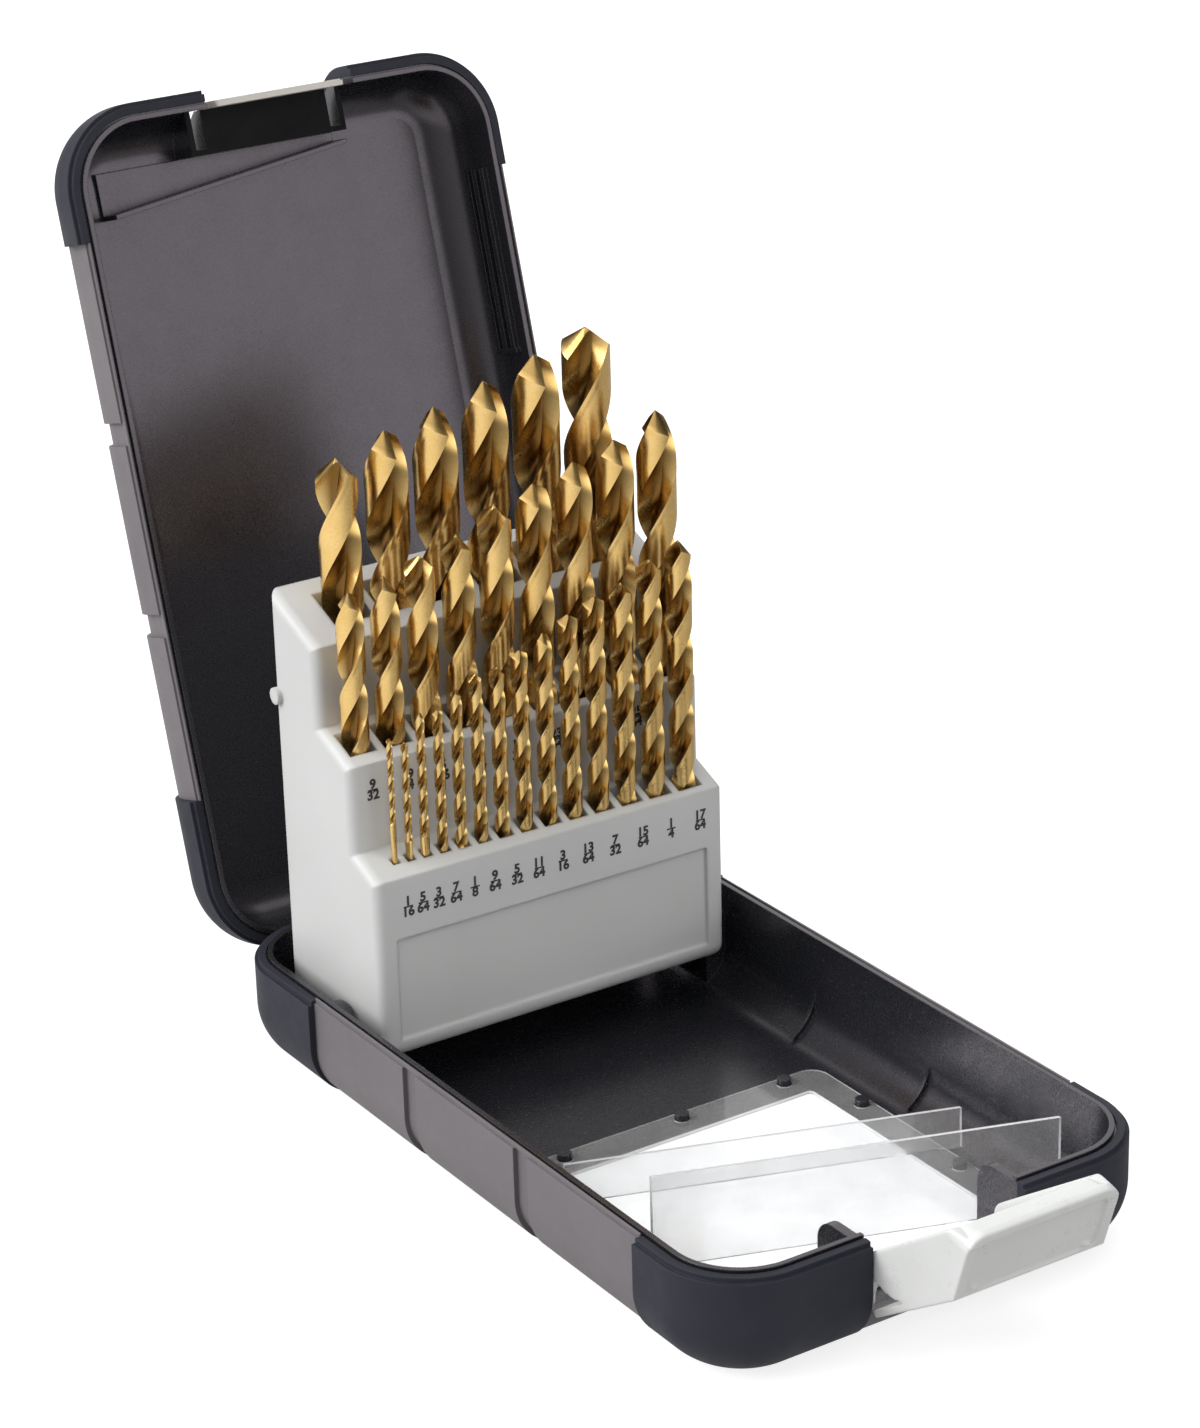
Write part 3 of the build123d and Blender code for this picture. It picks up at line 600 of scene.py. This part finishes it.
def drill(name, size, phase):
    """A two-flute twist drill that fills the CAD drill's box."""
    low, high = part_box(name)
    centre_x, centre_y = (low.x + high.x) / 2, (low.y + high.y) / 2
    foot, tip = low.z, high.z
    radius = size * INCH / 128
    lead = 2 * pi * radius / tan(HELIX_ANGLE)
    angles = [2 * pi * k / RING for k in range(RING)]
    whole = [1.0] * RING
    full = [section(angle) for angle in angles]
    slopes = [1 / tan(POINT_ANGLE / 2) + lip_fall(angle) for angle in angles]
    ends = [tip - radius * share * slope for share, slope in zip(full, slopes)]
    flute_foot = max(tip - FLUTE_LENGTHS[size - SMALLEST] * INCH, foot + radius)
    flute_rings = max(int((min(ends) - flute_foot) / lead * LEAD_RINGS), FEWEST_RINGS)
    vertices, faces, flow, shades = [], [], [], []

    def helix(heights):
        return [angle + phase + 2 * pi * (height - tip) / lead for angle, height in zip(angles, heights)]

    def ring(heights, reaches, turns, tones):
        """Adds a ring of points, joined to the ring before."""
        start = len(vertices)
        for angle, height, reach, turn in zip(angles, heights, reaches, turns):
            vertices.append((centre_x + reach * cos(turn), centre_y + reach * sin(turn), height))
            flow.append((angle * radius / INCH, (height - foot) / INCH))
        shades.extend(tones)
        if start:
            for k in range(RING):
                after = (k + 1) % RING
                faces.append((start - RING + k, start - RING + after, start + after, start + k))

    def body_ring(heights, shares):
        ring(heights, [radius * share for share in shares], helix(heights), shares)

    def level_ring(height, shares):
        body_ring([height] * RING, shares)

    level_ring(foot, [1 - CHAMFER] * RING)
    level_ring(foot + CHAMFER * radius, whole)
    level_ring(flute_foot - RUNOUT * radius, whole)
    for k in range(1, RUNOUT_RINGS + 1):
        along = k / RUNOUT_RINGS
        blend = along * along * (3 - 2 * along)
        level_ring(flute_foot - RUNOUT * radius * (1 - along), [1 + (share - 1) * blend for share in full])
    for k in range(1, flute_rings + 1):
        body_ring([flute_foot + (end - flute_foot) * k / flute_rings for end in ends], full)
    for inward in POINT_RINGS:
        reaches = [radius * share * inward for share in full]
        heights = [tip - reach * slope for reach, slope in zip(reaches, slopes)]
        ring(heights, reaches, helix(ends), [POINT_SHADE] * RING)
    faces.append(tuple(range(len(vertices) - RING, len(vertices))))
    faces.append(tuple(reversed(range(RING))))

    data = bpy.data.meshes.new(name + "_fluted")
    data.from_pydata(vertices, [], faces)
    data.validate()
    coat(data, "gold")
    layer = data.uv_layers.new(name="flow")
    for loop in data.loops:
        layer.data[loop.index].uv = flow[loop.vertex_index]
    data.attributes.new("share", "FLOAT", "POINT").data.foreach_set("value", shades)
    data.set_sharp_from_angle(angle=CREASE)
    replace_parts(add_piece(name + "_fluted", data, "holder"), name)


def drill_name(size):
    """The CAD's name for a drill of a size in 64ths of an inch, as a fraction in its lowest terms."""
    bottom = 64
    while size % 2 == 0:
        size //= 2
        bottom //= 2
    return f"drill_{size}_{bottom}"


for size, turns in enumerate(TURNS, SMALLEST):
    drill(drill_name(size), size, turns * TURN_STEP)


# ---------------------------------------------------------------- size labels
def digits(text, x, z):
    """One line of digits as a mesh, upright in the holder's front."""
    curve = bpy.data.curves.new("digits", "FONT")
    curve.body = text
    curve.size = LABEL_DIGIT / DIGIT_SHARE
    curve.align_x = "CENTER"
    curve.align_y = "CENTER"
    curve.offset = DIGIT_WEIGHT * LABEL_DIGIT
    carrier = bpy.data.objects.new("digits", curve)
    flat = bpy.data.meshes.new_from_object(carrier)
    flat.transform(Matrix.Translation((x, 0, z)) @ Matrix.Rotation(pi / 2, 4, "X"))
    bpy.data.objects.remove(carrier)
    return flat


def bar(x, z):
    """The line of a fraction."""
    data = bpy.data.meshes.new("bar")
    corners = [(x + a * LABEL_BAR / 2, 0, z + b * LABEL_BAR_THICKNESS / 2) for a, b in RECTANGLE]
    data.from_pydata(corners, [], [(0, 1, 2, 3)])
    return data


def fractions(name, entries, face_y, middle_z):
    """All fractions printed in one line on a face of the holder."""
    together = bmesh.new()
    for top, bottom, x in entries:
        x *= MM
        parts = (digits(top, x, middle_z + LABEL_PITCH / 2), bar(x, middle_z),
                 digits(bottom, x, middle_z - LABEL_PITCH / 2))
        for part in parts:
            together.from_mesh(part)
            bpy.data.meshes.remove(part)
    data = bpy.data.meshes.new(name)
    together.to_mesh(data)
    together.free()
    data.transform(Matrix.Translation((0, face_y - LABEL_STANDOFF, 0)))
    data.materials.append(materials["ink"])
    add_piece(name, data, "holder")


def row_labels(sizes):
    """Top, bottom and place across in mm of the labels in front of a row of drills."""
    entries = []
    for size in sizes:
        name = drill_name(size)
        low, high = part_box(name)
        top, bottom = name.split("_")[1:]
        entries.append((top, bottom, (low.x + high.x) / 2 / MM))
    return entries


fractions("front_size_labels", FRONT_LABELS, HOLDER_FRONT, FRONT_LABEL_Z)
fractions("middle_size_labels", row_labels(MIDDLE_SIZES), STEP_FACE, MIDDLE_LABEL_Z)


# ---------------------------------------------------------------- stage and light
def studio_floor():
    """Grey floor that takes the shadow; its glow is for the camera, glass and reflections alone."""
    tree = Finish("studio_floor")
    tree.set("Base Color", colour(FLOOR_TONE, FLOOR_TONE, FLOOR_TONE))
    tree.set("Roughness", 0.9)
    tree.set("Specular IOR Level", 0.0)
    path = tree.add("LightPath").outputs
    leftwards = tree.dot(tree.position(), FADE_ALONG)
    mirrored = tree.ramp(leftwards, 0.0, FLOOR_MIRRORED, FADE_START, FADE_END)
    levels = {"Is Camera Ray": FLOOR_SEEN, "Is Transmission Ray": FLOOR_THROUGH, "Is Glossy Ray": mirrored}
    strength = 0.0
    for kind, level in levels.items():
        strength = tree.math("MAXIMUM", strength, tree.math("MULTIPLY", path[kind], level))
    glow = tree.add("Emission", Color=colour(1, 1, 1), Strength=strength)
    both = tree.pair("AddShader", None, tree.shader.outputs[0], glow.outputs[0])
    tree.feed(tree.output.inputs["Surface"], both.outputs[0])
    return tree.material


def make_floor():
    data = bpy.data.meshes.new("floor")
    corners = [(a * FLOOR_REACH, b * FLOOR_REACH, -FLOOR_DROP) for a, b in RECTANGLE]
    data.from_pydata(corners, [], [(0, 1, 2, 3)])
    data.materials.append(studio_floor())
    floor = bpy.data.objects.new("floor", data)
    bpy.context.scene.collection.objects.link(floor)


def make_sun(name, direction, strength, spread):
    """A soft distant lamp; direction points from the object to the lamp, and spread is in degrees."""
    data = bpy.data.lights.new(name, "SUN")
    data.energy = strength * pi
    data.angle = radians(spread)
    lamp = bpy.data.objects.new(name, data)
    lamp.rotation_euler = Vector(direction).to_track_quat("Z", "Y").to_euler()
    bpy.context.scene.collection.objects.link(lamp)


def make_world():
    """Ambient light from the glows of SKY added up; the camera sees at least white."""
    world = bpy.data.worlds.new("studio")
    bpy.context.scene.world = world
    tree = Tree(world)
    where = tree.add("TexCoord").outputs["Generated"]
    light = 0.0
    for direction, start, end, low, high in SKY:
        alike = tree.dot(where, Vector(direction).normalized())
        light = tree.math("ADD", light, tree.ramp(alike, low, high, start, end, "SMOOTHSTEP"))
    seen = tree.add("LightPath").outputs["Is Camera Ray"]
    background = tree.nodes["Background"]
    tree.feed(background.inputs["Color"], colour(1, 1, 1))
    tree.feed(background.inputs["Strength"], tree.math("MAXIMUM", light, seen))


def make_camera():
    """The photograph's camera, turned and rolled about the origin and set off from it."""
    right = Vector((cos(CAMERA_AZIMUTH), sin(CAMERA_AZIMUTH), 0))
    level = cos(CAMERA_ELEVATION)
    back = Vector((sin(CAMERA_AZIMUTH) * level, -cos(CAMERA_AZIMUTH) * level, sin(CAMERA_ELEVATION)))
    up = back.cross(right)
    rolled_right = cos(CAMERA_ROLL) * right + sin(CAMERA_ROLL) * up
    rolled_up = cos(CAMERA_ROLL) * up - sin(CAMERA_ROLL) * right
    axes = Matrix((rolled_right, rolled_up, back)).transposed()
    data = bpy.data.cameras.new("camera")
    data.sensor_fit = "HORIZONTAL"
    data.sensor_width = SENSOR_WIDTH
    data.lens = FOCAL_PIXELS / IMAGE_WIDTH * SENSOR_WIDTH
    data.clip_start = CLIP_START
    data.clip_end = CLIP_END
    camera = bpy.data.objects.new("camera", data)
    camera.matrix_world = Matrix.Translation(axes @ CAMERA_OFFSET) @ axes.to_4x4()
    bpy.context.scene.collection.objects.link(camera)
    bpy.context.scene.camera = camera


make_floor()
make_world()
make_sun("key", (-0.80, 0.28, 0.53), strength=0.70, spread=35)
make_sun("top", (0.05, -0.20, 0.97), strength=0.22, spread=60)
make_camera()
bpy.context.scene.view_settings.view_transform = "Standard"
